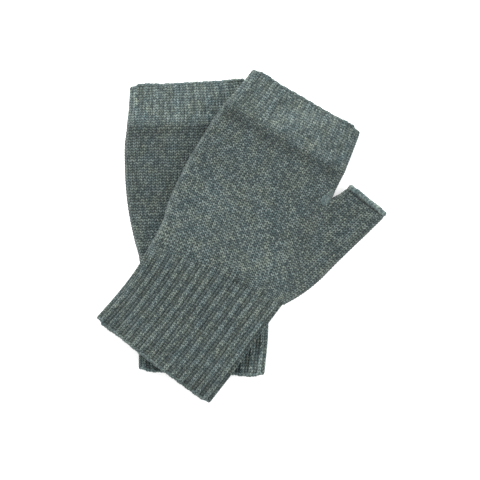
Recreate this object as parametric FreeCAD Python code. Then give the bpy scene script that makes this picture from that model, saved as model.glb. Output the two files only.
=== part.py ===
import FreeCAD, Part
import math
import os

# A pair of hand-knitted fingerless gloves lying as they were put down: the
# lower glove flat on the ground, the upper glove across it at an angle, so
# that its overhanging parts slope down to the ground.
# Millimetres. +Z is up, +Y runs from the cuffs towards the fingers.
# The origin is on the ground under the middle of the pair.

# Fabric and how thick a glove lies
wall = 1.8                  # knitted fabric of one side of a glove
room = 5.0                  # height of the space inside a glove
thick = wall + room + wall
edge_grow = 0.4             # an edge finish stands this far proud of the rib
roll_grow = 0.6             # the thumb's stockinette edge rolls, so it is fatter
darn_grow = 0.8             # thickness of the darned patch
ground_sink = 0.3           # the lower glove's underside is pressed flat by this

# Lengths along the hand of what finishes an edge
cast_on = 3.0
bind_off = 2.5
thumb_roll = 4.0

# How the upper glove lies on the lower one
lower_top = thick - ground_sink
upper_base = lower_top + edge_grow + roll_grow + 0.4
drape_reach = 20.0          # it slopes down over this distance
upper_low = 0.2             # and stays this far above the ground
fold_gap = 0.4              # clearance between panels that fold

# Inner seams
seam_radius = 0.7
seam_clear = 0.6

# Where each glove's wrist is and which way its fingers point
placing = {
    "lower": {"wrist": (-23.6, -27.0), "heading": 91.0},
    "upper": {"wrist": (-16.4, -25.7), "heading": 60.0},
}

# Outlines in each glove's own plan: u to the thumb side, v to the fingers.
# A station is the left and right end of one straight line across the glove.
cuff_stations = {
    "lower": [((-45.3, -60.6), (37.1, -66.0)), ((-44.6, -42.0), (39.9, -42.3)),
              ((-43.5, -22.0), (41.2, -20.0)), ((-43.0, -3.0), (44.0, 3.0))],
    "upper": [((-54.2, -63.3), (36.4, -75.0)), ((-49.8, -40.0), (41.5, -48.0)),
              ((-47.7, -22.0), (44.4, -18.0)), ((-47.4, -5.0), (47.3, 4.0))],
}
hand_left = {
    "lower": [(-43.4, 11.0), (-46.8, 26.0), (-50.3, 45.0), (-51.8, 62.0), (-52.1, 74.0)],
    "upper": [(-47.9, 11.0), (-51.2, 26.0), (-53.0, 45.0), (-53.8, 62.0), (-53.3, 74.0)],
}
above_crotch = {
    "lower": ((-51.9, 86.0), (40.2, 86.0)),
    "upper": ((-52.9, 86.0), (40.2, 86.0)),
}
finger_stations = {
    "lower": [((-50.0, 100.5), (38.2, 100.5)), ((-48.4, 113.0), (35.8, 114.0)),
              ((-47.3, 128.2), (32.5, 130.6))],
    "upper": [((-51.6, 100.5), (38.6, 100.5)), ((-48.6, 113.0), (36.2, 114.0)),
              ((-46.7, 128.5), (33.0, 130.0))],
}
# The thumb and its gusset join the hand along one line in plan
join_low = (47.6, 3.0)
join_high = (41.2, 81.7)
join_overlap = 6.0          # both tubes run this far past the line before trimming
thumb_outer = [(50.5, 9.0), (58.3, 26.0), (63.6, 44.0), (68.6, 62.0), (72.4, 75.0)]
thumb_tip = [((42.6, 85.0), (74.2, 83.0)), ((46.3, 95.3), (76.0, 90.8))]

# The darned patch at the thumb's crotch
darn_middle = (37.4, 79.0)
darn_size = (6.6, 14.0)

flat_points = 11            # points across each flat side of a section
station_step = 12.0         # sections of a tube are no further apart than this
far = 400.0


def lerp(a, b, k):
    return tuple(p + (q - p) * k for p, q in zip(a, b))


def place(side, point):
    """Plan position of a point given in one glove's own u, v."""
    angle = math.radians(placing[side]["heading"])
    x0, y0 = placing[side]["wrist"]
    u, v = point
    return (x0 + u * math.sin(angle) + v * math.cos(angle),
            y0 - u * math.cos(angle) + v * math.sin(angle))


def join_u(v):
    k = (v - join_low[1]) / (join_high[1] - join_low[1])
    return join_low[0] + (join_high[0] - join_low[0]) * k


def hand_stations(side):
    """From the wrist line to the line where the finger rib starts."""
    middle = [(left, (join_u(left[1]) + join_overlap, left[1])) for left in hand_left[side]]
    return ([cuff_stations[side][-1]] + middle
            + [above_crotch[side], finger_stations[side][0]])


def thumb_stations():
    base = [((join_u(outer[1]) - join_overlap, outer[1] + 1.0), outer) for outer in thumb_outer]
    return base + thumb_tip


def outlines(side):
    """Closed plan outlines of the body and the thumb of one glove."""
    across = cuff_stations[side] + [above_crotch[side]] + finger_stations[side]
    lefts = [s[0] for s in cuff_stations[side]] + hand_left[side]
    lefts += [above_crotch[side][0]] + [s[0] for s in finger_stations[side]]
    body = lefts + [s[1] for s in reversed(across)]
    thumb = [s[0] for s in thumb_stations()] + [s[1] for s in reversed(thumb_stations())]
    return [[place(side, p) for p in ring] for ring in (body, thumb)]


def inside(point, ring):
    x, y = point
    hit = False
    for (ax, ay), (bx, by) in zip(ring, ring[1:] + ring[:1]):
        if (ay > y) != (by > y) and x < ax + (y - ay) * (bx - ax) / (by - ay):
            hit = not hit
    return hit


def reach(point, ring):
    """Distance from a point to a closed outline."""
    best = far
    for a, b in zip(ring, ring[1:] + ring[:1]):
        run = (b[0] - a[0], b[1] - a[1])
        k = ((point[0] - a[0]) * run[0] + (point[1] - a[1]) * run[1])
        k = max(0.0, min(1.0, k / (run[0] ** 2 + run[1] ** 2)))
        best = min(best, math.dist(point, lerp(a, b, k)))
    return best


lower_outlines = outlines("lower")


def base_height(side, point):
    """Height of a glove's underside above the ground."""
    if side == "lower":
        return -ground_sink
    if any(inside(point, ring) for ring in lower_outlines):
        return upper_base
    k = min(1.0, min(reach(point, ring) for ring in lower_outlines) / drape_reach)
    return upper_low + (upper_base - upper_low) * (1.0 - k * k * (3.0 - 2.0 * k))


def section(side, station, grow=0.0):
    """Four edges round a lying tube, in the upright plane through a station."""
    left, right = (place(side, p) for p in station)
    width = math.dist(left, right)
    middle_radius = thick / 2
    radius = middle_radius + grow

    def centre(s):
        x, y = lerp(left, right, s / width)
        return base_height(side, (x, y)) + middle_radius

    def point(s, turn):
        rise = (centre(s + 1.0) - centre(s - 1.0)) / 2.0
        angle = math.atan(rise) + math.radians(90 - turn)
        x, y = lerp(left, right, (s + radius * math.cos(angle)) / width)
        return FreeCAD.Vector(x, y, centre(s) + radius * math.sin(angle))

    start, end = middle_radius, width - middle_radius
    steps = [start + (end - start) * i / (flat_points - 1) for i in range(flat_points)]
    sides = []
    for turn, row in ((0, steps), (180, steps[::-1])):
        flat = Part.BSplineCurve()
        flat.interpolate(Points=[point(s, turn) for s in row])
        fold = Part.Arc(*(point(row[-1], turn + more) for more in (0, 90, 180)))
        sides += [flat.toShape(), fold.toShape()]
    return sides


def along(station, other, distance):
    """The station moved by a distance on the way to another one."""
    return tuple(lerp(p, q, distance / math.dist(p, q)) for p, q in zip(station, other))


def closer(stations):
    """The same stations with more put evenly between them where they are far apart."""
    result = [stations[0]]
    for a, b in zip(stations, stations[1:]):
        gap = max(math.dist(p, q) for p, q in zip(a, b))
        parts = max(1, math.ceil(gap / station_step))
        result += [tuple(lerp(p, q, i / parts) for p, q in zip(a, b))
                   for i in range(1, parts + 1)]
    return result


def skin(side, stations, grow):
    """Faces of a tube's surface, and the closed wires at its two ends."""
    rows = [section(side, s, grow) for s in closer(stations)]
    faces = [Part.makeRuledSurface(a, b)
             for row, after in zip(rows, rows[1:]) for a, b in zip(row, after)]
    return faces, [Part.Wire(rows[0]), Part.Wire(rows[-1])]


def closed_solid(faces):
    shell = Part.makeShell(faces)
    shell.sewShape()
    solid = Part.makeSolid(shell)
    if solid.Volume < 0:
        solid.reverse()
    return solid


def full(side, stations, grow):
    """Solid of the whole outside of a tube."""
    faces, ends = skin(side, stations, grow)
    return closed_solid(faces + [Part.Face(end) for end in ends])


def tube(side, stations, grow=0.0):
    """Knitted tube: walls round the space inside, open at both ends."""
    outer, outer_ends = skin(side, stations, grow)
    inner, inner_ends = skin(side, stations, -wall)
    rims = [Part.makeFace([a, b], "Part::FaceMakerBullseye")
            for a, b in zip(outer_ends, inner_ends)]
    return closed_solid(outer + inner + rims)


def above_ground(shape):
    if shape.optimalBoundingBox().ZMin > 0:
        return shape
    floor = Part.makeBox(2 * far, 2 * far, far, FreeCAD.Vector(-far, -far, -far))
    return shape.cut(floor)


def thumb_side(side, offset):
    """Everything on the thumb's side of the joining line, moved by an offset."""
    low, high = place(side, join_low), place(side, join_high)
    angle = math.degrees(math.atan2(high[1] - low[1], high[0] - low[0]))
    block = Part.makeBox(2 * far, far, 2 * far, FreeCAD.Vector(-far, -far - offset, -far))
    block.rotate(FreeCAD.Vector(0, 0, 0), FreeCAD.Vector(0, 0, 1), angle)
    block.translate(FreeCAD.Vector(low[0], low[1], 0))
    return block


def rod(side, plan, lift):
    """Thin seam through plan points, its middle a given lift above the underside."""
    spots = [place(side, p) for p in plan]
    spots = [FreeCAD.Vector(x, y, base_height(side, (x, y)) + lift) for x, y in spots]
    rings = []
    for i, spot in enumerate(spots):
        way = spots[min(i + 1, len(spots) - 1)] - spots[max(i - 1, 0)]
        rings.append(Part.Wire(Part.makeCircle(seam_radius, spot, way)))
    return Part.makeLoft(rings, True, True)


def side_seam(side, stations):
    """Seam inside the folded edge opposite the thumb, just short of the panel's ends."""
    inset = wall + seam_radius + seam_clear
    inner = [along(stations[0], stations[1], seam_clear)] + stations[1:-1]
    inner.append(along(stations[-1], stations[-2], seam_clear))
    return rod(side, [along(s, s[::-1], inset)[0] for s in closer(inner)], thick / 2)


def thumb_seam(side):
    inset = seam_radius + 1.0
    plan = [(join_u(v) - inset, v) for v in range(14, 77, 6)]
    return rod(side, plan, wall + 2 * seam_clear + seam_radius)


def darn(side, stations):
    """Patch that follows the hand's top, grown out of it by its thickness."""
    u, v = darn_middle
    corners = [place(side, (u + du * darn_size[0] / 2, v + dv * darn_size[1] / 2))
               for du, dv in ((-1, -1), (1, -1), (1, 1), (-1, 1), (-1, -1))]
    middle = base_height(side, place(side, darn_middle)) + thick / 2
    outline = Part.makePolygon([FreeCAD.Vector(x, y, middle) for x, y in corners])
    column = Part.Face(outline).extrude(FreeCAD.Vector(0, 0, far))
    thicker = full(side, stations, darn_grow).common(column)
    return thicker.cut(full(side, stations, 0.0)).cut(thumb_side(side, -fold_gap / 2))


def glove(side):
    """All pieces of one glove by name."""
    gap = fold_gap if side == "upper" else 0.0
    hem, *cuff_rest, wrist = cuff_stations[side]
    hand = hand_stations(side)
    start, *finger_rest, top = finger_stations[side]
    thumb = thumb_stations()
    hem_end = along(hem, cuff_rest[0], cast_on)
    wrist_end = along(wrist, cuff_rest[-1], gap)
    top_end = along(top, finger_rest[-1], bind_off)
    start_end = along(start, finger_rest[0], gap)
    tip_end = along(thumb[-1], thumb[-2], thumb_roll)
    cuff = [hem_end] + cuff_rest + [wrist_end]
    fingers = [start_end] + finger_rest + [top_end]
    pieces = {
        "cuff_cast_on_edge": tube(side, [hem, hem_end], edge_grow),
        "cuff_rib": tube(side, cuff),
        "cuff_side_seam": side_seam(side, cuff),
        "hand": tube(side, hand).cut(thumb_side(side, -gap / 2)),
        "hand_side_seam": side_seam(side, hand),
        "thumb_seam": thumb_seam(side),
        "thumb_crotch_darn": darn(side, hand),
        "thumb": tube(side, thumb[:-1] + [tip_end]).common(thumb_side(side, gap / 2)),
        "thumb_rolled_edge": tube(side, [tip_end, thumb[-1]], roll_grow),
        "finger_rib": tube(side, fingers),
        "finger_side_seam": side_seam(side, fingers),
        "finger_bind_off_edge": tube(side, [top_end, top], edge_grow),
    }
    return {side + "_" + name: above_ground(shape) for name, shape in pieces.items()}


os.makedirs("parts", exist_ok=True)
for side in ("lower", "upper"):
    for name, shape in glove(side).items():
        shape.exportStep("parts/" + name + ".step")
        box = shape.optimalBoundingBox()
        print("%-28s solids %d valid %s volume %8.0f  x %.1f..%.1f y %.1f..%.1f z %.2f..%.2f" % (
            name, len(shape.Solids), shape.isValid(), shape.Volume,
            box.XMin, box.XMax, box.YMin, box.YMax, box.ZMin, box.ZMax))
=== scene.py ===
import math

import bpy
import numpy as np
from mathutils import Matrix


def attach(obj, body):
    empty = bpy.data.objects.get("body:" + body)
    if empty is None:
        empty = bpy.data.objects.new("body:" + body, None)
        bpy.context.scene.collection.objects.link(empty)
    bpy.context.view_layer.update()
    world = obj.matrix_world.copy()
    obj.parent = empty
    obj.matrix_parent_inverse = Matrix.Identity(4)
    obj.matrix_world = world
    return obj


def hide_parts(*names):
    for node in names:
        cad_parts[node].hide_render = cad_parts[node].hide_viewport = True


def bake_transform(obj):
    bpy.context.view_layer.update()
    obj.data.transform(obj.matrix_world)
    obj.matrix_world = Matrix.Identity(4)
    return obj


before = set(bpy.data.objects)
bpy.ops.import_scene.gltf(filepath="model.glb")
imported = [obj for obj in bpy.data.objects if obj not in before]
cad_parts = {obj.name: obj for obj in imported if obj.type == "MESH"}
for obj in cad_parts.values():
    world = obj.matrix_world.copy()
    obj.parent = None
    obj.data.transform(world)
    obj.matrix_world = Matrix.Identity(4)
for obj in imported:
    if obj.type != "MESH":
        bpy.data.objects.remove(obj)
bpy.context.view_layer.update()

# ---------------------------------------------------------------- sizes, in millimetres
MM = 0.001
THICK = 8.6                 # how thick a lying glove is at its folded edges
FOLD = THICK / 2            # radius of a folded edge
WALL = 1.8                  # knitted fabric
SAG = 1.5                   # the top lies this much lower away from the folded edges
SAG_REACH = 16.0
GROUND_SINK = 0.3
UPPER_BASE = 9.7            # underside of the upper glove over the lower one
UPPER_LOW = 0.2             # and beyond it
DRAPE_REACH = 20.0
FIELD_STEP = 2.0            # raster of the draped height
FIELD_HALF = 130.0

LEG_MIDDLE = 0.46           # from the middle of a V stitch to its edge, where a leg is highest
V_SLOPE = 0.55              # how much higher, in stitches, a leg ends than it starts
WALE = 2.5                  # width of a stitch in the hand
COURSE = 1.9                # height of a stitch in the hand
THUMB_WALE = 2.75
THUMB_COURSE = 2.0
STITCH_DEPTH = 0.42
RIB_COURSE = 1.8
RIB_STITCH_DEPTH = 0.3
KNIT_PART = 0.62            # of a rib's width, the rest is its sunk purl stitches
CUFF_RIBS = 15              # ribs across one side of a cuff
WELT_RIBS = 13              # ribs across one side of a finger welt
CUFF_RIB_DEPTH = 1.3
WELT_RIB_DEPTH = {"upper": 0.75, "lower": 1.0}
RIB_FADE = 11.0
RIB_END = {                 # the arch where the cuff's ribs end: crown, its u, drops, half width
    "upper": {"crown": 11.8, "middle": 3.0, "left_drop": 17.0, "right_drop": 3.0, "half": 50.0},
    "lower": {"crown": 9.0, "middle": 0.0, "left_drop": 8.0, "right_drop": 3.0, "half": 48.0},
}
SCALLOP = 0.45              # a rib's knit stitches reach this far past its purl ones
SCALLOP_REACH = 7.0         # and their rows bend over this length
SCALLOP_FOLD = 5.0          # but not beside a folded edge
RIB_SLOPE = 0.16            # all in shares of a rib's width, or of its height
SPLIT_DEPTH, SPLIT_WIDTH = 0.30, 0.06       # the dip between the two knit wales
PURL_HEIGHT, PURL_WIDTH = 0.60, 0.09        # the low ridge in the middle of the purl ones
WELT_FADE = 8.0             # the welt's ribs grow over this length
RIB_WANDER = 2.5            # how far the line where ribs end strays
PUCKER_DEPTH = 1.2          # the hand dips this much before the finger rib
PUCKER_SHADE = {"upper": 0.48, "lower": 0.22}     # and painted shade in the dip darkens it by this share
PUCKER_BEFORE = 5.0         # middle of the dip, before that line
PUCKER_WIDTH = 4.8
PUCKER_MIDDLE, PUCKER_HALF, PUCKER_FADE = -6.0, 48.0, 12.0      # its run across the hand
PINCH = 12.0                # the thumb's crotch closes over this length
RIM_ROOM = 0.5              # a panel ends this far short of its outline, for its edge finish
CORNER = 1.5                # radius of the corners of cuffs and welts
THUMB_CORNER = 1.2
JITTER = 0.35               # how unevenly stitches lie
EDGE = 1.05                 # radius of the cast-on and bind-off edges
ROLL = 1.9                  # radius of the thumb's rolled edge
LOFT = 0.35                 # the tops of the stitches stand this far out of the panel's surface
TIP_HOLLOW = 0.9            # the thumb's end is this much shorter in its middle
CREASE_AT = 2.6             # from the thumb's end to the crease behind its roll
CREASE_WIDTH = 1.0
CREASE_DEPTH = 0.6
# painted shade darkens the crease behind the roll by this share
CREASE_SHADE = 0.65
SEAM = 0.7                  # radius of a seam inside
SEAM_CLEAR = 0.6
TUBE_WIDEST = 98.0          # the widest row, which sets how many columns a panel has
THUMB_WIDEST = 34.0

WAVES = {                   # seed and cell size of each random unevenness
    "lumps": (5, 27.0), "dents": (9, 12.0), "rib end": (21, 7.0), "pucker": (33, 14.0),
    "hand shade": (51, 22.0), "welt edge": (71, 9.0), "across": (61, 5.0),
    "across, fine": (62, 1.9), "along": (63, 6.0), "along, fine": (64, 1.7),
}
LUMPS, DENTS = 0.55, 0.3    # how high the top's slow waves are

# How light the wool is in each zone, against its average: painted light and shade. The lower glove's
# hand is painted darker, as in shadow, and its cuff and welt lighter, to offset the shade the upper
# glove casts on them
HAND_SHADE = {"upper": 0.64, "lower": 0.53}
HAND_SWING = 0.10           # painted light on the hand near its cuff, painted shade near its welt, by this share
PALEST, DARKEST = 20.0, 72.0                # where along it, in millimetres
# patches of painted light and shade over the hand
HAND_PATCHES = 0.08
WELT_SHADE_BEFORE, WELT_SHADE_FADE = 6.0, 14.0      # where the welt's shade starts, and its fade
THUMB_SHADE = 0.57
CUFF_SHADE = {"upper": 0.77, "lower": 1.15}
WELT_SHADE = {"upper": 0.77, "lower": 0.93}
# painted shade on the inside of the fabric
INSIDE_SHADE = 0.6
# painted light on the thumb's rolled edge
ROLL_SHADE = 0.90
FINISH_SHADE = 0.85         # painted shade on the cast-on and bind-off edges, against their ribs
THUMBWARD_SHADE = 0.06      # painted shade darkens the hand by this share towards the thumb
DARN_SHADE = 1.4           # against the hand
GROOVE = {"cuff": 0.44, "upper": 0.14, "lower": 0.30}     # how much painted shade darkens the ribs' grooves

STEP = 0.5                  # spacing of a panel's rows
FINE = 0.42                 # spacing of its columns on top
COARSE = 0.8                # and underneath

PLACING = {
    "lower": {"wrist": (-23.6, -27.0), "heading": 91.0},
    "upper": {"wrist": (-16.4, -25.7), "heading": 60.0},
}
# Outlines in each glove's own plan: u to the thumb side, v to the fingers
CUFF = {
    "lower": [((-45.5, -61.2), (37.4, -66.6)), ((-44.9, -42.0), (40.2, -42.3)),
              ((-43.8, -22.0), (41.4, -20.0)), ((-43.3, -3.0), (44.0, 3.0))],
    "upper": [((-54.8, -65.3), (38.3, -76.9)), ((-49.8, -40.0), (41.7, -48.0)),
              ((-47.5, -22.0), (44.5, -18.0)), ((-47.3, -5.0), (47.3, 4.0))],
}
HAND_LEFT = {
    "lower": [(-43.7, 11.0), (-47.1, 26.0), (-50.6, 45.0), (-52.1, 62.0), (-52.4, 74.0)],
    "upper": [(-47.9, 11.0), (-51.2, 26.0), (-53.0, 45.0), (-53.8, 62.0), (-53.3, 74.0)],
}
CROTCH = (41.2, 81.7)
ABOVE_CROTCH = {
    "lower": ((-52.3, 86.0), (40.2, 86.0)),
    "upper": ((-52.9, 86.0), (40.3, 86.0)),
}
WELT = {
    "lower": [((-50.6, 100.5), (38.2, 100.5)), ((-49.0, 113.0), (35.8, 114.0)),
              ((-48.0, 126.9), (32.5, 129.6))],
    "upper": [((-51.6, 100.5), (39.6, 100.5)), ((-48.8, 113.0), (37.6, 114.0)),
              ((-46.6, 129.8), (35.0, 129.7))],
}
JOIN_LOW = (47.6, 3.0)
THUMB = [((47.5, 4.4), (48.4, 5.0)), ((46.7, 15.0), (54.2, 14.5)), ((45.5, 29.0), (60.0, 28.0)),
         ((44.2, 45.0), (64.4, 44.0)), ((42.8, 62.0), (69.2, 61.0)), ((41.7, 75.5), (72.9, 73.5)),
         (CROTCH, (74.4, 79.0)), ((44.3, 87.3), (76.0, 84.6)), ((47.3, 95.6), (77.4, 90.9))]
DARN_FROM = 74.5            # the darned patch runs along the hand from here
DARN_LENGTH = 13.5
DARN_WIDTH = 7.0
DARN_PROUD = 0.6
DARN_SUNK = 0.6             # its rim lies this far inside the hand's fabric
DARN_UNDER = 1.0            # and its underside this far
DARN_COURSE, DARN_WALE = 1.3, 1.5

# ---------------------------------------------------------------- helpers


def smooth(x):
    x = np.clip(x, 0.0, 1.0)
    return x * x * (3.0 - 2.0 * x)


def unit(v):
    return v / np.maximum(np.linalg.norm(v, axis=-1, keepdims=True), 1e-9)


def spline(points, knots, t):
    """Smooth curve through points that lie at the given knots."""
    p = np.array(points, float)
    slope = np.gradient(p, knots, axis=0)
    i = np.clip(np.searchsorted(knots, t, side="right") - 1, 0, len(knots) - 2)
    h = (knots[i + 1] - knots[i])[:, None]
    s = (t[:, None] - knots[i][:, None]) / h
    return ((2 * s ** 3 - 3 * s ** 2 + 1) * p[i] + (s ** 3 - 2 * s ** 2 + s) * h * slope[i]
            + (3 * s ** 2 - 2 * s ** 3) * p[i + 1] + (s ** 3 - s ** 2) * h * slope[i + 1])


def rails(stations, rim_start=0.0, rim_end=0.0, corner=CORNER):
    """Left and right ends of rows STEP apart. A rim leaves that much room for a panel's
    edge finish, and rounds the corners there."""
    left = np.array([s[0] for s in stations], float)
    right = np.array([s[1] for s in stations], float)
    middle = (left + right) / 2
    knots = np.r_[0, np.cumsum(np.hypot(*np.diff(middle, axis=0).T))]
    first, last = rim_start, knots[-1] - rim_end
    t = np.linspace(first, last, round((last - first) / STEP) + 1)
    close = np.array([0.12, 0.3])
    if rim_start:
        t = np.r_[t[0], t[0] + close, t[1:]]
    if rim_end:
        t = np.r_[t[:-1], t[-1] - close[::-1], t[-1]]
    left, right = spline(left, knots, t), spline(right, knots, t)
    inset = np.zeros(len(t))
    for rim, distance in ((rim_start, t - first), (rim_end, last - t)):
        if rim:
            bend = corner - np.clip(distance, 0, corner)
            inset += corner - np.sqrt(corner ** 2 - bend ** 2)
    way = unit(right - left) * inset[:, None]
    return left + way, right - way


def place(side, p):
    """Plan position of points given in one glove's own u, v."""
    a = math.radians(PLACING[side]["heading"])
    x0, y0 = PLACING[side]["wrist"]
    u, v = p[..., 0], p[..., 1]
    return np.stack([x0 + u * math.sin(a) + v * math.cos(a),
                     y0 - u * math.cos(a) + v * math.sin(a)], -1)


def local(side, grid):
    """The inverse of place()."""
    a = math.radians(PLACING[side]["heading"])
    x = grid[..., 0] - PLACING[side]["wrist"][0]
    y = grid[..., 1] - PLACING[side]["wrist"][1]
    return x * math.sin(a) - y * math.cos(a), x * math.cos(a) + y * math.sin(a)


def heading(side):
    a = math.radians(PLACING[side]["heading"])
    return np.array([math.cos(a), math.sin(a), 0.0])


def join_u(v):
    k = (v - JOIN_LOW[1]) / (CROTCH[1] - JOIN_LOW[1])
    return JOIN_LOW[0] + (CROTCH[0] - JOIN_LOW[0]) * k


def noise(wave, p):
    """Smooth noise of about -1 to 1 over plan points, with one value per cell."""
    seed, cell = WAVES[wave]
    rng = np.random.default_rng(seed)
    table = rng.uniform(-1, 1, (64, 64))
    q = p / cell + 32.0
    i = np.floor(q).astype(int)
    f = smooth(q - i)
    i %= 63
    a, b = i[..., 0], i[..., 1]
    fx, fy = f[..., 0], f[..., 1]
    return ((table[a, b] * (1 - fx) + table[a + 1, b] * fx) * (1 - fy)
            + (table[a, b + 1] * (1 - fx) + table[a + 1, b + 1] * fx) * fy)


# ---------------------------------------------------------------- how the gloves lie


def lower_outline():
    across = CUFF["lower"] + [ABOVE_CROTCH["lower"]] + WELT["lower"]
    lefts = [s[0] for s in CUFF["lower"]] + HAND_LEFT["lower"]
    lefts += [s[0] for s in [ABOVE_CROTCH["lower"]] + WELT["lower"]]
    body = lefts + [s[1] for s in reversed(across)]
    thumb = [s[0] for s in THUMB] + [s[1] for s in reversed(THUMB)]
    return [place("lower", np.array(ring)) for ring in (body, thumb)]


def outline_distance(p, ring):
    """Distance from plan points to an outline, negative inside it."""
    best = np.full(p.shape[:-1], 1e9)
    inside = np.zeros(p.shape[:-1], bool)
    x, y = p[..., 0], p[..., 1]
    for a, b in zip(ring, np.roll(ring, -1, axis=0)):
        run = b - a
        k = np.clip(((p - a) @ run) / (run @ run), 0, 1)
        best = np.minimum(best, np.hypot(*np.moveaxis(p - a - k[..., None] * run, -1, 0)))
        if a[1] != b[1]:
            cross = a[0] + (y - a[1]) * (b[0] - a[0]) / (b[1] - a[1])
            inside ^= ((a[1] > y) != (b[1] > y)) & (x < cross)
    return np.where(inside, -best, best)


def drape_field():
    """Height of the upper glove's underside over a raster of the plan, softened."""
    axis = np.arange(-FIELD_HALF, FIELD_HALF + 1, FIELD_STEP)
    p = np.stack(np.meshgrid(axis, axis, indexing="ij"), -1)
    distance = np.min([outline_distance(p, ring) for ring in lower_outline()], axis=0)
    z = UPPER_LOW + (UPPER_BASE - UPPER_LOW) * (1 - smooth(distance / DRAPE_REACH))
    z -= SAG * smooth((-distance - 2.0) / SAG_REACH)
    for _ in range(3):
        z[1:-1] = (z[:-2] + 2 * z[1:-1] + z[2:]) / 4
        z[:, 1:-1] = (z[:, :-2] + 2 * z[:, 1:-1] + z[:, 2:]) / 4
    return z


FIELD = drape_field()


def base_height(side, p):
    if side == "lower":
        return np.full(p.shape[:-1], -GROUND_SINK)
    q = np.clip((p + FIELD_HALF) / FIELD_STEP, 0, len(FIELD) - 1.001)
    i = q.astype(int)
    f = q - i
    a, b = i[..., 0], i[..., 1]
    fx, fy = f[..., 0], f[..., 1]
    return ((FIELD[a, b] * (1 - fx) + FIELD[a + 1, b] * fx) * (1 - fy)
            + (FIELD[a, b + 1] * (1 - fx) + FIELD[a + 1, b + 1] * fx) * fy)


def rounding(d):
    """Half thickness of a lying tube at a distance from its folded edge."""
    d = np.clip(d, 0, FOLD)
    return np.sqrt(np.maximum(FOLD ** 2 - (FOLD - d) ** 2, 0))


def surface(side, plan, to_left, to_right, upside):
    """Height of the top (upside) or underside at plan points with these edge distances."""
    edge = np.minimum(to_left, to_right)
    half = rounding(edge)
    base = base_height(side, plan)
    if not upside:
        return base + FOLD - half
    lump = LUMPS * noise("lumps", plan) + DENTS * noise("dents", plan)
    return base + FOLD + half - smooth((edge - 2.0) / SAG_REACH) * (SAG + lump)


# ---------------------------------------------------------------- panels


def row_positions(width, start_left, start_right, count):
    """Positions across one row at even spacing along the fabric, and the fabric's width."""
    k = np.linspace(0, math.pi, 500)
    s = width * (1 - np.cos(k)) / 2
    half = np.minimum(rounding(s + start_left), rounding(width - s + start_right))
    arc = np.r_[0, np.cumsum(np.hypot(np.diff(s), np.diff(half)))]
    return np.interp(np.linspace(0, arc[-1], count), arc, s), arc[-1]


def skin(side, left, right, start_left, start_right, columns, upside):
    """Grid of one side of a panel from its left end to its right end."""
    a, b = place(side, left), place(side, right)
    width = np.hypot(*(b - a).T)
    spots, arcs = zip(*(row_positions(w, l, r, columns)
                        for w, l, r in zip(width, start_left, start_right)))
    s = np.array(spots)
    arcs = np.array(arcs)
    plan = a[:, None] + (b - a)[:, None] * (s / width[:, None])[..., None]
    z = surface(side, plan, s + start_left[:, None],
                width[:, None] - s + start_right[:, None], upside)
    fabric = arcs[:, None] * np.linspace(0, 1, columns)[None]
    return np.concatenate([plan, z[..., None]], -1), fabric, arcs


def normals(grid, closed):
    """Outward normals of a grid whose columns run over the top from left to right."""
    if closed:
        across = np.roll(grid, -1, 1) - np.roll(grid, 1, 1)
    else:
        across = np.gradient(grid, axis=1)
    return unit(np.cross(across, np.gradient(grid, axis=0)))


def uneven(grid, fabric, along):
    """Distances across and along the fabric, as stitches of uneven size count them."""
    spot = grid[..., :2] + 0.7 * grid[..., 2:]
    across = JITTER * (noise("across", spot) + 0.5 * noise("across, fine", spot))
    up = JITTER * (noise("along", spot) + 0.5 * noise("along, fine", spot))
    return fabric + across, along + up


def stitch_relief(wale, course):
    """Height from 0 to 1 of V stitches, for coordinates counted in stitches."""
    m = np.abs(wale - np.floor(wale) - 0.5) * 2
    leg = 1 - ((m - LEG_MIDDLE) / (1 - LEG_MIDDLE)) ** 2
    ridge = 0.5 + 0.5 * np.cos(2 * np.pi * (course - V_SLOPE * m))
    return (0.25 + 0.75 * leg) * (0.3 + 0.7 * ridge)


def rib_phase(fabric, arcs, ribs):
    """Position across a tube's ribs, with the middle of a knit pair on its folded edges."""
    return fabric / arcs * ribs + KNIT_PART / 2


def rib_relief(phase):
    """Height from 0 to 1 of a 2x2 rib: two knit wales, then a sunk pair between crevices."""
    x = phase - np.floor(phase)
    knit = smooth(x / RIB_SLOPE) * smooth((KNIT_PART - x) / RIB_SLOPE)
    split = SPLIT_DEPTH * np.exp(-((x - KNIT_PART / 2) / SPLIT_WIDTH) ** 2)
    purl = PURL_HEIGHT * np.exp(-((x - (1 + KNIT_PART) / 2) / PURL_WIDTH) ** 2)
    return np.clip(knit - split + purl, 0, 1)


def rib_wales(phase):
    """Stitch count across a rib, which has four stitches of which two are squeezed."""
    whole = np.floor(phase)
    return whole * 4 + np.interp(phase - whole, (0, KNIT_PART, 1), (0, 2, 4))


def ladder(a, ta, b, tb):
    """Triangles between two chains of vertices with their positions."""
    i = j = 0
    faces = []
    while i < len(a) - 1 or j < len(b) - 1:
        if j == len(b) - 1 or (i < len(a) - 1 and ta[i + 1] <= tb[j + 1]):
            faces.append((a[i], a[i + 1], b[j]))
            i += 1
        else:
            faces.append((a[i], b[j + 1], b[j]))
            j += 1
    return faces


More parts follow.
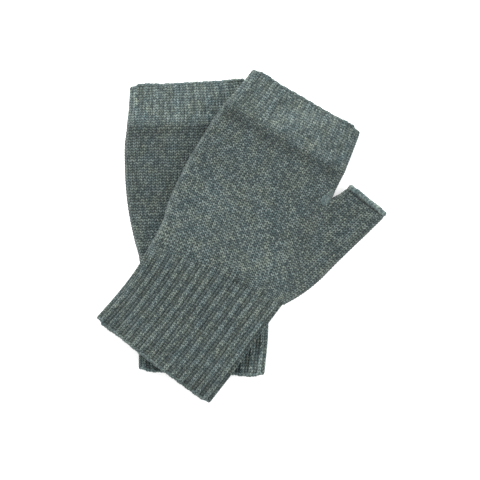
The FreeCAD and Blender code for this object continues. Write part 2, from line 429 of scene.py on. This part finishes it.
def mesh_object(name, verts, quads, tris, uvs, shade, material):
    """New object from vertices in millimetres, with a UV and a shade per vertex."""
    quads = np.asarray(quads, np.int32).reshape(-1, 4)
    tris = np.asarray(tris, np.int32).reshape(-1, 3)
    loops = np.concatenate([quads.ravel(), tris.ravel()])
    sizes = np.r_[np.full(len(quads), 4), np.full(len(tris), 3)].astype(np.int32)
    mesh = bpy.data.meshes.new(name)
    mesh.vertices.add(len(verts))
    mesh.vertices.foreach_set("co", (verts * MM).astype(np.float32).ravel())
    mesh.loops.add(len(loops))
    mesh.loops.foreach_set("vertex_index", loops)
    mesh.polygons.add(len(sizes))
    mesh.polygons.foreach_set("loop_start", np.r_[0, np.cumsum(sizes)[:-1]].astype(np.int32))
    mesh.update(calc_edges=True)
    layer = mesh.uv_layers.new(name="stitches")
    layer.data.foreach_set("uv", uvs[loops].astype(np.float32).ravel())
    layer = mesh.attributes.new("shade", "FLOAT", "POINT")
    layer.data.foreach_set("value", shade.astype(np.float32))
    mesh.polygons.foreach_set("use_smooth", np.ones(len(sizes), bool))
    mesh.validate()
    mesh.materials.append(material)
    obj = bpy.data.objects.new(name, mesh)
    bpy.context.scene.collection.objects.link(obj)
    return obj


def grid_faces(rows, columns, wrap_columns, offset=0):
    r = np.arange(rows - 1)[:, None]
    c = np.arange(columns if wrap_columns else columns - 1)[None]
    d = (c + 1) % columns
    quad = np.stack([r * columns + c, r * columns + d,
                     (r + 1) * columns + d, (r + 1) * columns + c], -1)
    return quad.reshape(-1, 4) + offset


def closed_faces(rows, width, closed, keep):
    """Faces of an outer grid, an inner grid that has only the kept rows, and their rims."""
    base = rows * width
    c = np.arange(width if closed else width - 1)
    d = (c + 1) % width
    last, last_in = (rows - 1) * width, base + (len(keep) - 1) * width
    quads = np.concatenate([
        grid_faces(rows, width, closed),
        grid_faces(len(keep), width, closed, base)[:, ::-1],
        np.stack([base + c, base + d, d, c], -1),
        np.stack([last + c, last + d, last_in + d, last_in + c], -1)])
    tris = []
    if not closed:
        for column, flip in ((0, False), (width - 1, True)):
            chain = [i * width + column for i in range(rows)]
            inside = [base + i * width + column for i in range(len(keep))]
            steps = ladder(chain, list(range(rows)), inside, list(keep))
            tris += [f[::-1] for f in steps] if flip else steps
    return quads, tris


def panel(name, side, left, right, start_left, start_right, widest, open_end, knit, material):
    """Closed double-walled piece of tube. open_end is where its fabric isn't joined up:
    None for a whole tube, "right" or "left" for one cut open along the thumb's joining line.
    knit gives height, shade, shift along the glove and stitch counts of its points."""
    top, top_fabric, arcs = skin(side, left, right, start_left, start_right,
                                 int(widest / FINE), True)
    low, low_fabric, low_arcs = skin(side, left, right, start_left, start_right,
                                     int(widest / COARSE), False)
    if open_end == "right":
        grid = np.concatenate([top[:, ::-1], low[:, 1:]], 1)
        fabric = np.concatenate([top_fabric[:, ::-1], -low_fabric[:, 1:]], 1)
    elif open_end == "left":
        grid = np.concatenate([top, low[:, ::-1][:, 1:]], 1)
        fabric = np.concatenate([top_fabric - arcs[:, None],
                                 low_arcs[:, None] - low_fabric[:, ::-1][:, 1:]], 1)
    else:
        grid = np.concatenate([top, low[:, ::-1][:, 1:-1]], 1)
        fabric = np.concatenate([top_fabric, -low_fabric[:, ::-1][:, 1:-1]], 1)
    closed = open_end is None
    rows, width = grid.shape[:2]
    length = np.r_[0, np.cumsum(np.linalg.norm(np.diff(grid.mean(1), axis=0), axis=1))]
    along = np.repeat(length[:, None], width, 1)
    height, shade, shift, uvs = knit(grid, fabric, along, arcs[:, None])
    out = normals(grid, closed)
    if open_end == "right":
        out = -out
    grid = grid + heading(side) * shift[..., None]
    outer = grid + out * (height + LOFT)[..., None]
    outer[..., 2] = np.maximum(outer[..., 2], 0.02)
    keep = np.unique(np.r_[0, np.arange(4, rows - 4, 10), rows - 1])
    inner = (grid - out * WALL)[keep]
    inner[..., 2] = np.maximum(inner[..., 2], 0.1)
    verts = np.concatenate([outer.reshape(-1, 3), inner.reshape(-1, 3)])
    coords = np.concatenate([uvs.reshape(-1, 2), uvs[keep].reshape(-1, 2)])
    # painted shade on the inside of the fabric
    shades = np.concatenate([shade.ravel(), np.full(inner[..., 0].size, INSIDE_SHADE)])
    quads, tris = closed_faces(rows, width, closed, keep)
    if open_end == "right":
        quads = quads[:, ::-1]
        tris = [f[::-1] for f in tris]
    return mesh_object(name, verts, quads, tris, coords, shades, material), grid, out


def cord(name, path, radius, closed, material, shade=1.0, bead=0.05, pitch=2.4, sides=10):
    """Edge finish or seam along a path of points in millimetres, beaded by its stitches."""
    path = np.array(path, float)
    if closed:
        way = unit(np.roll(path, -1, 0) - np.roll(path, 1, 0))
    else:
        way = unit(np.gradient(path, axis=0))
    beside = unit(np.cross(way, [0, 0, 1.0]))
    up = np.cross(beside, way)
    run = np.r_[0, np.cumsum(np.linalg.norm(np.diff(path, axis=0), axis=1))]
    angle = np.linspace(0, 2 * math.pi, sides, endpoint=False)
    lean = 2 * math.pi * run[:, None] / pitch + 0.5 * np.cos(angle)[None]
    r = radius * (1 + bead * (np.cos(lean) - 1))
    ring = (path[:, None] + beside[:, None] * (np.cos(angle)[None] * r)[..., None]
            + up[:, None] * (np.sin(angle)[None] * r)[..., None])
    ring[..., 2] = np.maximum(ring[..., 2], 0.02)
    rows = len(path)
    uvs = np.stack([np.repeat(np.arange(sides)[None] / sides * 2, rows, 0),
                    np.repeat(run[:, None] / pitch, sides, 1)], -1)
    quads = [grid_faces(rows, sides, True)]
    tris = []
    verts, coords = ring.reshape(-1, 3), uvs.reshape(-1, 2)
    # painted shade in the dips between the beads
    shades = shade * (0.9 + 0.1 * np.cos(lean)).ravel()
    if closed:
        c = np.arange(sides)
        d = (c + 1) % sides
        quads.append(np.stack([(rows - 1) * sides + c, (rows - 1) * sides + d, d, c], -1))
    else:
        verts = np.concatenate([verts, path[[0, -1]]])
        coords = np.concatenate([coords, coords[[0, -1]]])
        shades = np.r_[shades, shade, shade]
        first, end = rows * sides, rows * sides + 1
        for i in range(sides):
            j = (i + 1) % sides
            tris.append((first, j, i))
            tris.append((end, (rows - 1) * sides + i, (rows - 1) * sides + j))
    return mesh_object(name, verts, np.concatenate(quads), tris, coords, shades, material)


# ---------------------------------------------------------------- materials


class Nodes:
    """Short way to add linked nodes to a material."""

    def __init__(self, name):
        self.material = bpy.data.materials.new(name)
        self.material.use_nodes = True
        self.tree = self.material.node_tree
        self.shader = self.tree.nodes["Principled BSDF"]

    def add(self, kind, settings=None, **inputs):
        node = self.tree.nodes.new(kind)
        for key, value in (settings or {}).items():
            setattr(node, key, value)
        for key, value in inputs.items():
            self.put(node, key.replace("_", " "), value)
        return node

    def put(self, node, key, value):
        socket = node.inputs[int(key[1:])] if key[0] == "i" and key[1:].isdigit() else node.inputs[key]
        if hasattr(value, "is_output"):
            self.tree.links.new(value, socket)
        else:
            socket.default_value = value

    def math(self, operation, a, b=0.0, c=0.0):
        node = self.tree.nodes.new("ShaderNodeMath")
        node.operation = operation
        for i, value in enumerate((a, b, c)):
            self.put(node, "i%d" % i, value)
        return node.outputs[0]

    def noise(self, vector, scale, detail=2.0, rough=0.5):
        node = self.add("ShaderNodeTexNoise", Vector=vector, Scale=scale, Detail=detail)
        node.inputs["Roughness"].default_value = rough
        return node.outputs["Fac"]

    def ramp(self, value, stops):
        node = self.add("ShaderNodeValToRGB", Fac=value)
        ramp = node.color_ramp
        while len(ramp.elements) < len(stops):
            ramp.elements.new(0.5)
        for element, (at, color) in zip(ramp.elements, stops):
            element.position = at
            element.color = (*color, 1)
        return node.outputs["Color"]

    def multiply(self, a, b):
        """Product of two colours, whose sockets are a mix node's seventh and eighth."""
        node = self.add("ShaderNodeMix", {"data_type": "RGBA", "blend_type": "MULTIPLY"},
                        Factor=1.0, i6=a, i7=b)
        return node.outputs[2]


LEG_TONE, CLOUD_TONE, FIBRE_TONE = 0.24, 0.12, 0.88     # what the tone of the yarn is made of
MEAN_TONE = 0.6
DEEP = (0.028, 0.045, 0.050)      # heathered yarn, from its dark blue fibres
TEAL = (0.092, 0.128, 0.127)
PALE = (0.218, 0.264, 0.245)      # to its pale olive ones


def wool(name, stitch_bump, crevice, heather=1.0):
    """Heathered wool whose V stitches follow the UV map, counted in stitches. Heather is how much its
    yarn varies in tone. Crevice is how dark the painted shade between stitches is; the stitches' tops
    get painted light, and the shade attribute scales the colour with painted light and shade."""
    m = Nodes(name)
    uv = m.add("ShaderNodeUVMap", {"uv_map": "stitches"}).outputs["UV"]
    shade = m.add("ShaderNodeAttribute", {"attribute_name": "shade"}).outputs["Fac"]
    spot = m.add("ShaderNodeTexCoord").outputs["Object"]
    parts = m.add("ShaderNodeSeparateXYZ", Vector=uv)
    wale, course = parts.outputs["X"], parts.outputs["Y"]
    across = m.math("SUBTRACT", m.math("FRACT", wale), 0.5)
    off_centre = m.math("MULTIPLY", m.math("ABSOLUTE", across), 2.0)
    beside = m.math("DIVIDE", m.math("SUBTRACT", off_centre, LEG_MIDDLE), 1 - LEG_MIDDLE)
    leg = m.math("SUBTRACT", 1.0, m.math("MULTIPLY", beside, beside))
    lean = m.math("SUBTRACT", course, m.math("MULTIPLY", off_centre, V_SLOPE))
    wave = m.math("COSINE", m.math("MULTIPLY", lean, 2 * math.pi))
    ridge = m.math("MULTIPLY_ADD", wave, 0.5, 0.5)
    loop = m.math("MULTIPLY", m.math("MULTIPLY_ADD", leg, 0.75, 0.25),
                  m.math("MULTIPLY_ADD", ridge, 0.7, 0.3))
    leg_id = m.add("ShaderNodeCombineXYZ", X=m.math("FLOOR", m.math("MULTIPLY", wale, 2.0)),
                   Y=m.math("FLOOR", m.math("ADD", lean, 0.5)), Z=0.0).outputs[0]
    random = m.add("ShaderNodeTexWhiteNoise", {"noise_dimensions": "3D"},
                   Vector=leg_id).outputs["Value"]
    cloud = m.noise(spot, 60.0, 2.0, 0.5)
    fibre = m.noise(spot, 1400.0, 3.0, 0.7)
    tone = m.math("ADD", m.math("MULTIPLY", random, LEG_TONE),
                  m.math("MULTIPLY", cloud, CLOUD_TONE))
    tone = m.math("ADD", tone, m.math("MULTIPLY", fibre, FIBRE_TONE))
    tone = m.math("MULTIPLY_ADD", m.math("SUBTRACT", tone, MEAN_TONE), heather, MEAN_TONE)
    color = m.ramp(tone, [(0.45, DEEP), (MEAN_TONE, TEAL), (0.75, PALE)])
    drift = m.noise(spot, 110.0, 2.0, 0.6)
    hue = m.ramp(drift, [(0.35, (0.95, 1.0, 1.04)), (0.65, (1.05, 1.01, 0.93))])
    color = m.multiply(color, hue)
    # painted shade in the crevices between stitches, painted light on their tops
    lit = m.ramp(loop, [(0.10, (crevice,) * 3), (0.80, (1.5,) * 3)])
    color = m.multiply(color, lit)
    # the shade attribute paints in light and shade
    color = m.add("ShaderNodeVectorMath", {"operation": "SCALE"}, Vector=color,
                  Scale=shade).outputs["Vector"]
    m.put(m.shader, "Base Color", color)
    bump = m.add("ShaderNodeBump", Height=loop, Distance=0.0006, Strength=stitch_bump)
    fuzz = m.add("ShaderNodeBump", Height=fibre, Distance=0.0004, Strength=0.4,
                 Normal=bump.outputs["Normal"])
    m.put(m.shader, "Normal", fuzz.outputs["Normal"])
    m.shader.inputs["Roughness"].default_value = 0.95
    m.shader.inputs["Specular IOR Level"].default_value = 0.15
    m.shader.inputs["Sheen Weight"].default_value = 0.25
    m.shader.inputs["Sheen Roughness"].default_value = 0.6
    m.shader.inputs["Sheen Tint"].default_value = (0.75, 0.85, 0.82, 1)
    return m.material


HAND_WOOL = wool("hand_wool", 0.9, 0.02)
RIB_WOOL = wool("rib_wool", 0.8, 0.12)
SEAM_WOOL = wool("seam_wool", 0.5, 0.5, 0.5)
DARN_WOOL = wool("darned_wool", 0.5, 0.6, 0.6)

# ---------------------------------------------------------------- the gloves


def ribbing(side, grid):
    """1 in the cuff, fading to 0 where its ribs end in an arch across the wrist."""
    end = RIB_END[side]
    u, v = local(side, grid)
    away = (u - end["middle"]) / end["half"]
    line = (end["crown"] - end["left_drop"] * np.clip(-away, 0, 1.2) ** 2
            - end["right_drop"] * np.clip(away, 0, 1.2) ** 2)
    return smooth((line + RIB_WANDER * noise("rib end", grid[..., :2]) - v) / RIB_FADE)


def pucker(side, grid):
    """Dip of 0 to 1 along the hand just before the line where the finger rib starts."""
    u, v = local(side, grid)
    line = WELT[side][0][0][1] - PUCKER_BEFORE
    amount = np.clip(0.8 + 0.4 * noise("pucker", grid[..., :2]), 0, 1)
    across = smooth((PUCKER_HALF - np.abs(u - PUCKER_MIDDLE)) / PUCKER_FADE)
    return amount * across * np.exp(-((v - line) / PUCKER_WIDTH) ** 2)


def zone_shade(side, grid):
    """Painted light and shade from the cuff over the hand to the finger rib, as a multiplier of the
    wool's colour.
    """
    v = local(side, grid)[1]
    swing = HAND_SWING * np.cos(math.pi * (np.clip(v, PALEST, DARKEST) - PALEST) / (DARKEST - PALEST))
    in_cuff = ribbing(side, grid)
    wander = RIB_WANDER * noise("welt edge", grid[..., :2])
    in_welt = smooth((v - WELT[side][0][0][1] + WELT_SHADE_BEFORE + wander) / WELT_SHADE_FADE)
    patches = HAND_PATCHES * noise("hand shade", grid[..., :2])
    hand = HAND_SHADE[side] * (1 + swing + patches)
    shade = hand + (CUFF_SHADE[side] - hand) * in_cuff
    return shade + (WELT_SHADE[side] - shade) * in_welt


def tube_panel(name, side, stations, ribs, depth, groove, amount, rim):
    """Ribbed tube with its edge finish at rim, "start" or "end" of its stations."""
    left, right = rails(stations, RIM_ROOM * (rim == "start"), RIM_ROOM * (rim == "end"))
    none = np.zeros(len(left))

    def knit(grid, fabric, along, arcs):
        stitches, courses = uneven(grid, fabric, along)
        phase = rib_phase(fabric + 0.25 * (stitches - fabric), arcs, ribs)
        wales, courses = rib_wales(phase), courses / RIB_COURSE
        rib = rib_relief(phase)
        ribbed = amount(side, grid)
        sunk = ribbed * (1 - rib)
        dip = pucker(side, grid)
        stitch = stitch_relief(wales, courses)
        height = -depth * sunk - RIB_STITCH_DEPTH * (1 - stitch) - PUCKER_DEPTH * dip
        way, distance = (-1, along) if rim == "start" else (1, along[-1:] - along)
        from_fold = np.minimum(np.abs(fabric), arcs - np.abs(fabric))
        near_rim = smooth(1 - distance / SCALLOP_REACH)
        shift = way * SCALLOP * (rib - 0.5) * near_rim * smooth(from_fold / SCALLOP_FOLD)
        # painted light and shade, with painted shade in the ribs' grooves and in the dip before the
        # finger rib
        shade = zone_shade(side, grid) * (1 - groove * sunk) * (1 - PUCKER_SHADE[side] * dip)
        return height, shade, shift, np.stack([wales, courses], -1)

    return panel(name, side, left, right, none, none, TUBE_WIDEST, None, knit, RIB_WOOL)


def hand_stations(side):
    """Stations of the hand: the thumb's joining line is its right side up to the crotch."""
    beside_thumb = [(p, (join_u(p[1]), p[1])) for p in HAND_LEFT[side]]
    return [CUFF[side][-1]] + beside_thumb + [ABOVE_CROTCH[side], WELT[side][0]]


def hand_panel(name, side):
    left, right = rails(hand_stations(side))
    outer_v = [s[1][1] for s in THUMB]
    outer_w = [s[1][0] - s[0][0] for s in THUMB]
    w = np.interp(right[:, 1], outer_v, outer_w, left=0.0) * smooth((right[:, 1] - 3.0) / 3.0)
    start_right = w * smooth((CROTCH[1] - right[:, 1]) / PINCH)

    def knit(grid, fabric, along, arcs):
        sunk = ribbing(side, grid) * (1 - rib_relief(rib_phase(fabric, arcs[0], CUFF_RIBS)))
        dip = pucker(side, grid)
        stitches, courses = uneven(grid, fabric, along)
        uv = np.stack([stitches / WALE, courses / COURSE], -1)
        stitch = stitch_relief(uv[..., 0], uv[..., 1])
        height = -CUFF_RIB_DEPTH * sunk - STITCH_DEPTH * (1 - stitch) - PUCKER_DEPTH * dip
        # painted light and shade, darker towards the thumb, in the cuff's grooves and in the dip
        # before the finger rib
        thumbward = smooth((fabric - 0.72 * arcs) / (0.28 * arcs))
        shade = zone_shade(side, grid) * (1 - THUMBWARD_SHADE * thumbward)
        shade = shade * (1 - GROOVE["cuff"] * sunk) * (1 - PUCKER_SHADE[side] * dip)
        return height, shade, np.zeros_like(fabric), uv

    return panel(name, side, left, right, np.zeros(len(left)), start_right, TUBE_WIDEST,
                 "right", knit, HAND_WOOL)


def thumb_panel(name, side):
    left, right = rails(THUMB, 0.0, RIM_ROOM, THUMB_CORNER)
    width = np.hypot(*(right - left).T)
    start_left = width * smooth((CROTCH[1] - left[:, 1]) / PINCH)

    def knit(grid, fabric, along, arcs):
        to_tip = along[-1:] - along
        across = 1 - np.abs(fabric) / arcs
        middle = 1 - (2 * across - 1) ** 2
        crease = np.exp(-((to_tip - CREASE_AT) / CREASE_WIDTH) ** 2) * (0.5 + 0.5 * middle)
        stitches, courses = uneven(grid, fabric, along)
        uv = np.stack([stitches / THUMB_WALE, courses / THUMB_COURSE], -1)
        stitch = stitch_relief(uv[..., 0], uv[..., 1])
        height = -STITCH_DEPTH * (1 - stitch) - CREASE_DEPTH * crease
        shift = -TIP_HOLLOW * middle * smooth(1 - to_tip / 9.0)
        # painted shade: from the hand's shade to the thumb's along it, and darker in the crease behind
        # its roll
        start = HAND_SHADE[side] * (1 - THUMBWARD_SHADE)
        shade = start + (THUMB_SHADE - start) * smooth(along / 60.0)
        return height, shade * (1 - CREASE_SHADE * crease), shift, uv

    return panel(name, side, left, right, start_left, np.zeros(len(left)), THUMB_WIDEST,
                 "left", knit, HAND_WOOL)


def darn(name, side, grid, out):
    """Patch of close stitches over the thumb's crotch, grown out of the hand's top."""
    v = local(side, grid[:, 0])[1]
    rows = np.flatnonzero((v > DARN_FROM) & (v < DARN_FROM + DARN_LENGTH))
    columns = int(DARN_WIDTH / FINE)
    part = grid[rows[0]:rows[-1] + 1, 1:1 + columns]
    away = out[rows[0]:rows[-1] + 1, 1:1 + columns]
    a = np.linspace(-1, 1, part.shape[0])[:, None]
    b = np.linspace(-1, 1, columns)[None]
    swell = smooth((1 - (a ** 4 + b ** 4)) / 0.5)
    run, across = (a + 1) * DARN_LENGTH / 2, (b + 1) * DARN_WIDTH / 2
    weave = 0.5 + 0.5 * (np.cos(2 * math.pi * run / DARN_COURSE)
                         * np.cos(2 * math.pi * across / DARN_WALE))
    height = -DARN_SUNK + (DARN_SUNK + DARN_PROUD) * swell * (0.75 + 0.25 * weave)
    outer = part + away * height[..., None]
    inner = part - away * DARN_UNDER
    rows, width = part.shape[:2]
    uvs = np.stack(np.broadcast_arrays(across / DARN_WALE, run / DARN_COURSE), -1)
    quads, tris = closed_faces(rows, width, False, np.arange(rows))
    verts = np.concatenate([outer.reshape(-1, 3), inner.reshape(-1, 3)])
    coords = np.tile(uvs.reshape(-1, 2), (2, 1))
    # painted shade between the darn's weave bumps and towards its sunk rim, over the hand's painted
    # shade
    shade = HAND_SHADE[side] * DARN_SHADE * (0.85 + 0.15 * weave) * (0.6 + 0.4 * swell)
    shade = np.tile(shade.ravel(), 2)
    return mesh_object(name, verts, quads[:, ::-1], [f[::-1] for f in tris], coords, shade,
                       DARN_WOOL)


def inner_seam(name, side, plan, lift):
    """Seam inside a glove through plan points, its middle a given lift above the underside."""
    plan = np.array(plan, float)
    knots = np.r_[0, np.cumsum(np.hypot(*np.diff(plan, axis=0).T))]
    path = place(side, spline(plan, knots, np.arange(0, knots[-1], STEP)))
    z = base_height(side, path) + lift
    return cord(name, np.c_[path, z], SEAM, False, SEAM_WOOL, bead=0.2, pitch=1.8)


def side_seam(name, side, stations):
    """Seam inside the folded edge opposite the thumb, just short of the panel's ends."""
    lefts, rights = np.moveaxis(np.array(stations, float), 1, 0)
    plan = lefts + unit(rights - lefts) * (WALL + SEAM + SEAM_CLEAR)
    plan[0] += unit(plan[1] - plan[0]) * 2 * SEAM_CLEAR
    plan[-1] += unit(plan[-2] - plan[-1]) * 2 * SEAM_CLEAR
    return inner_seam(name, side, plan, FOLD)


def edge_finish(name, grid, out, row, radius, inset, shade, material):
    return cord(name, grid[row] - out[row] * inset, radius, True, material, shade)


def glove(side):
    """All pieces of one glove, by the CAD node that each one stands for."""
    own = side + "_"
    cuff, cuff_grid, cuff_out = tube_panel(own + "cuff_fabric", side, CUFF[side], CUFF_RIBS,
                                           CUFF_RIB_DEPTH, GROOVE["cuff"], ribbing, "start")
    hand, hand_grid, hand_out = hand_panel(own + "hand_fabric", side)
    thumb, thumb_grid, thumb_out = thumb_panel(own + "thumb_fabric", side)

    def past_welt_line(side, grid):
        return smooth((local(side, grid)[1] - WELT[side][0][0][1]) / WELT_FADE)

    welt, welt_grid, welt_out = tube_panel(own + "finger_fabric", side, WELT[side], WELT_RIBS,
                                           WELT_RIB_DEPTH[side], GROOVE[side], past_welt_line, "end")
    return {
        "cuff_rib": cuff,
        "cuff_cast_on_edge": edge_finish(own + "cuff_cast_on_stitches", cuff_grid, cuff_out, 0,
                                         EDGE, WALL / 2, FINISH_SHADE * CUFF_SHADE[side],
                                         SEAM_WOOL),
        "cuff_side_seam": side_seam(own + "cuff_seam_stitches", side, CUFF[side]),
        "hand": hand,
        "hand_side_seam": side_seam(own + "hand_seam_stitches", side, hand_stations(side)),
        "thumb_seam": inner_seam(own + "thumb_seam_stitches", side,
                                 [(join_u(v) - SEAM - 1.0, v) for v in range(14, 77, 6)],
                                 WALL + 2 * SEAM_CLEAR + SEAM),
        "thumb_crotch_darn": darn(own + "thumb_crotch_darning", side, hand_grid, hand_out),
        "thumb": thumb,
        "thumb_rolled_edge": edge_finish(own + "thumb_rolled_stitches", thumb_grid, thumb_out, -1,
                                         ROLL, 0.5, ROLL_SHADE, DARN_WOOL),
        "finger_rib": welt,
        "finger_side_seam": side_seam(own + "finger_seam_stitches", side, WELT[side]),
        "finger_bind_off_edge": edge_finish(own + "finger_bind_off_stitches", welt_grid, welt_out,
                                            -1, EDGE, WALL / 2, FINISH_SHADE * WELT_SHADE[side],
                                            SEAM_WOOL),
    }


gloves = {side: glove(side) for side in ("lower", "upper")}

# ---------------------------------------------------------------- how the pieces move

PART = {"cuff_rib": "cuff", "cuff_cast_on_edge": "cuff", "cuff_side_seam": "cuff",
        "hand": "hand", "hand_side_seam": "hand", "thumb_seam": "hand", "thumb_crotch_darn": "hand",
        "thumb": "thumb", "thumb_rolled_edge": "thumb",
        "finger_rib": "fingers", "finger_side_seam": "fingers", "finger_bind_off_edge": "fingers"}
# The line where a part joins the hand, and over which distance its fabric is meant to bend; no bending
# is done here
BEND = {"cuff": (CUFF["upper"][-1], -20.0), "fingers": (WELT["upper"][0], 15.0),
        "thumb": ((JOIN_LOW, CROTCH), -16.0)}


def bend(obj, part):
    """Bakes the piece's placement into its mesh. Its part's joint line and bending distance are looked
    up, but no fabric is bent.
    """
    (first, last), distance = BEND[part]
    first, last = np.array(first), np.array(last)
    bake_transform(obj)


for side, pieces in gloves.items():
    for node, obj in pieces.items():
        if side == "lower":
            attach(obj, "lower_glove")
        elif PART[node] == "hand":
            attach(obj, "upper_hand")
        else:
            bend(obj, PART[node])
        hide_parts(side + "_" + node)

# ---------------------------------------------------------------- floor, light and camera

FLOOR_HALF = 3.0                                                  # all in metres and watts
KEY = {"spot": (-0.30, 0.62, 0.62), "size": 0.4, "power": 9.0}    # from the picture's top left
FILL = {"spot": (0.9, 0.1, 0.8), "size": 0.8, "power": 5.0}
SKY = 0.85
VIEW_WIDTH = 0.3168         # how much the picture shows across, at the gloves' middle height
VIEW_MIDDLE = (-0.001, -0.003)
GLOVES_MIDDLE = 0.009


def stage():
    """Light table under the gloves."""
    floor = bpy.data.meshes.new("floor")
    half = FLOOR_HALF
    floor.from_pydata([(-half, -half, 0), (half, -half, 0), (half, half, 0), (-half, half, 0)],
                      [], [(0, 1, 2, 3)])
    obj = bpy.data.objects.new("floor", floor)
    bpy.context.scene.collection.objects.link(obj)
    paint = Nodes("floor_paint")
    grain = paint.noise(paint.add("ShaderNodeTexCoord").outputs["Object"], 40.0)
    paint.put(paint.shader, "Base Color",
              paint.ramp(grain, [(0.0, (0.93, 0.93, 0.93)), (1.0, (0.95, 0.95, 0.95))]))
    paint.shader.inputs["Emission Color"].default_value = (1, 1, 1, 1)
    paint.shader.inputs["Emission Strength"].default_value = 0.5
    paint.shader.inputs["Roughness"].default_value = 1.0
    paint.shader.inputs["Specular IOR Level"].default_value = 0.0
    floor.materials.append(paint.material)


def area_light(name, spot, size, power):
    data = bpy.data.lights.new(name, "AREA")
    data.shape = "DISK"
    data.size = size
    data.energy = power
    obj = bpy.data.objects.new(name, data)
    bpy.context.scene.collection.objects.link(obj)
    obj.location = spot
    obj.rotation_euler = (-obj.location).to_track_quat("-Z", "Y").to_euler()


def light():
    world = bpy.data.worlds.new("studio")
    bpy.context.scene.world = world
    world.use_nodes = True
    world.node_tree.nodes["Background"].inputs["Color"].default_value = (1, 1, 1, 1)
    world.node_tree.nodes["Background"].inputs["Strength"].default_value = SKY
    area_light("key", **KEY)
    area_light("fill", **FILL)


def camera():
    data = bpy.data.cameras.new("camera")
    data.lens = 135.0
    data.sensor_width = 36.0
    obj = bpy.data.objects.new("camera", data)
    bpy.context.scene.collection.objects.link(obj)
    obj.location = (*VIEW_MIDDLE, VIEW_WIDTH * data.lens / data.sensor_width + GLOVES_MIDDLE)
    bpy.context.scene.camera = obj
    bpy.context.scene.view_settings.view_transform = "Standard"


stage()
light()
camera()
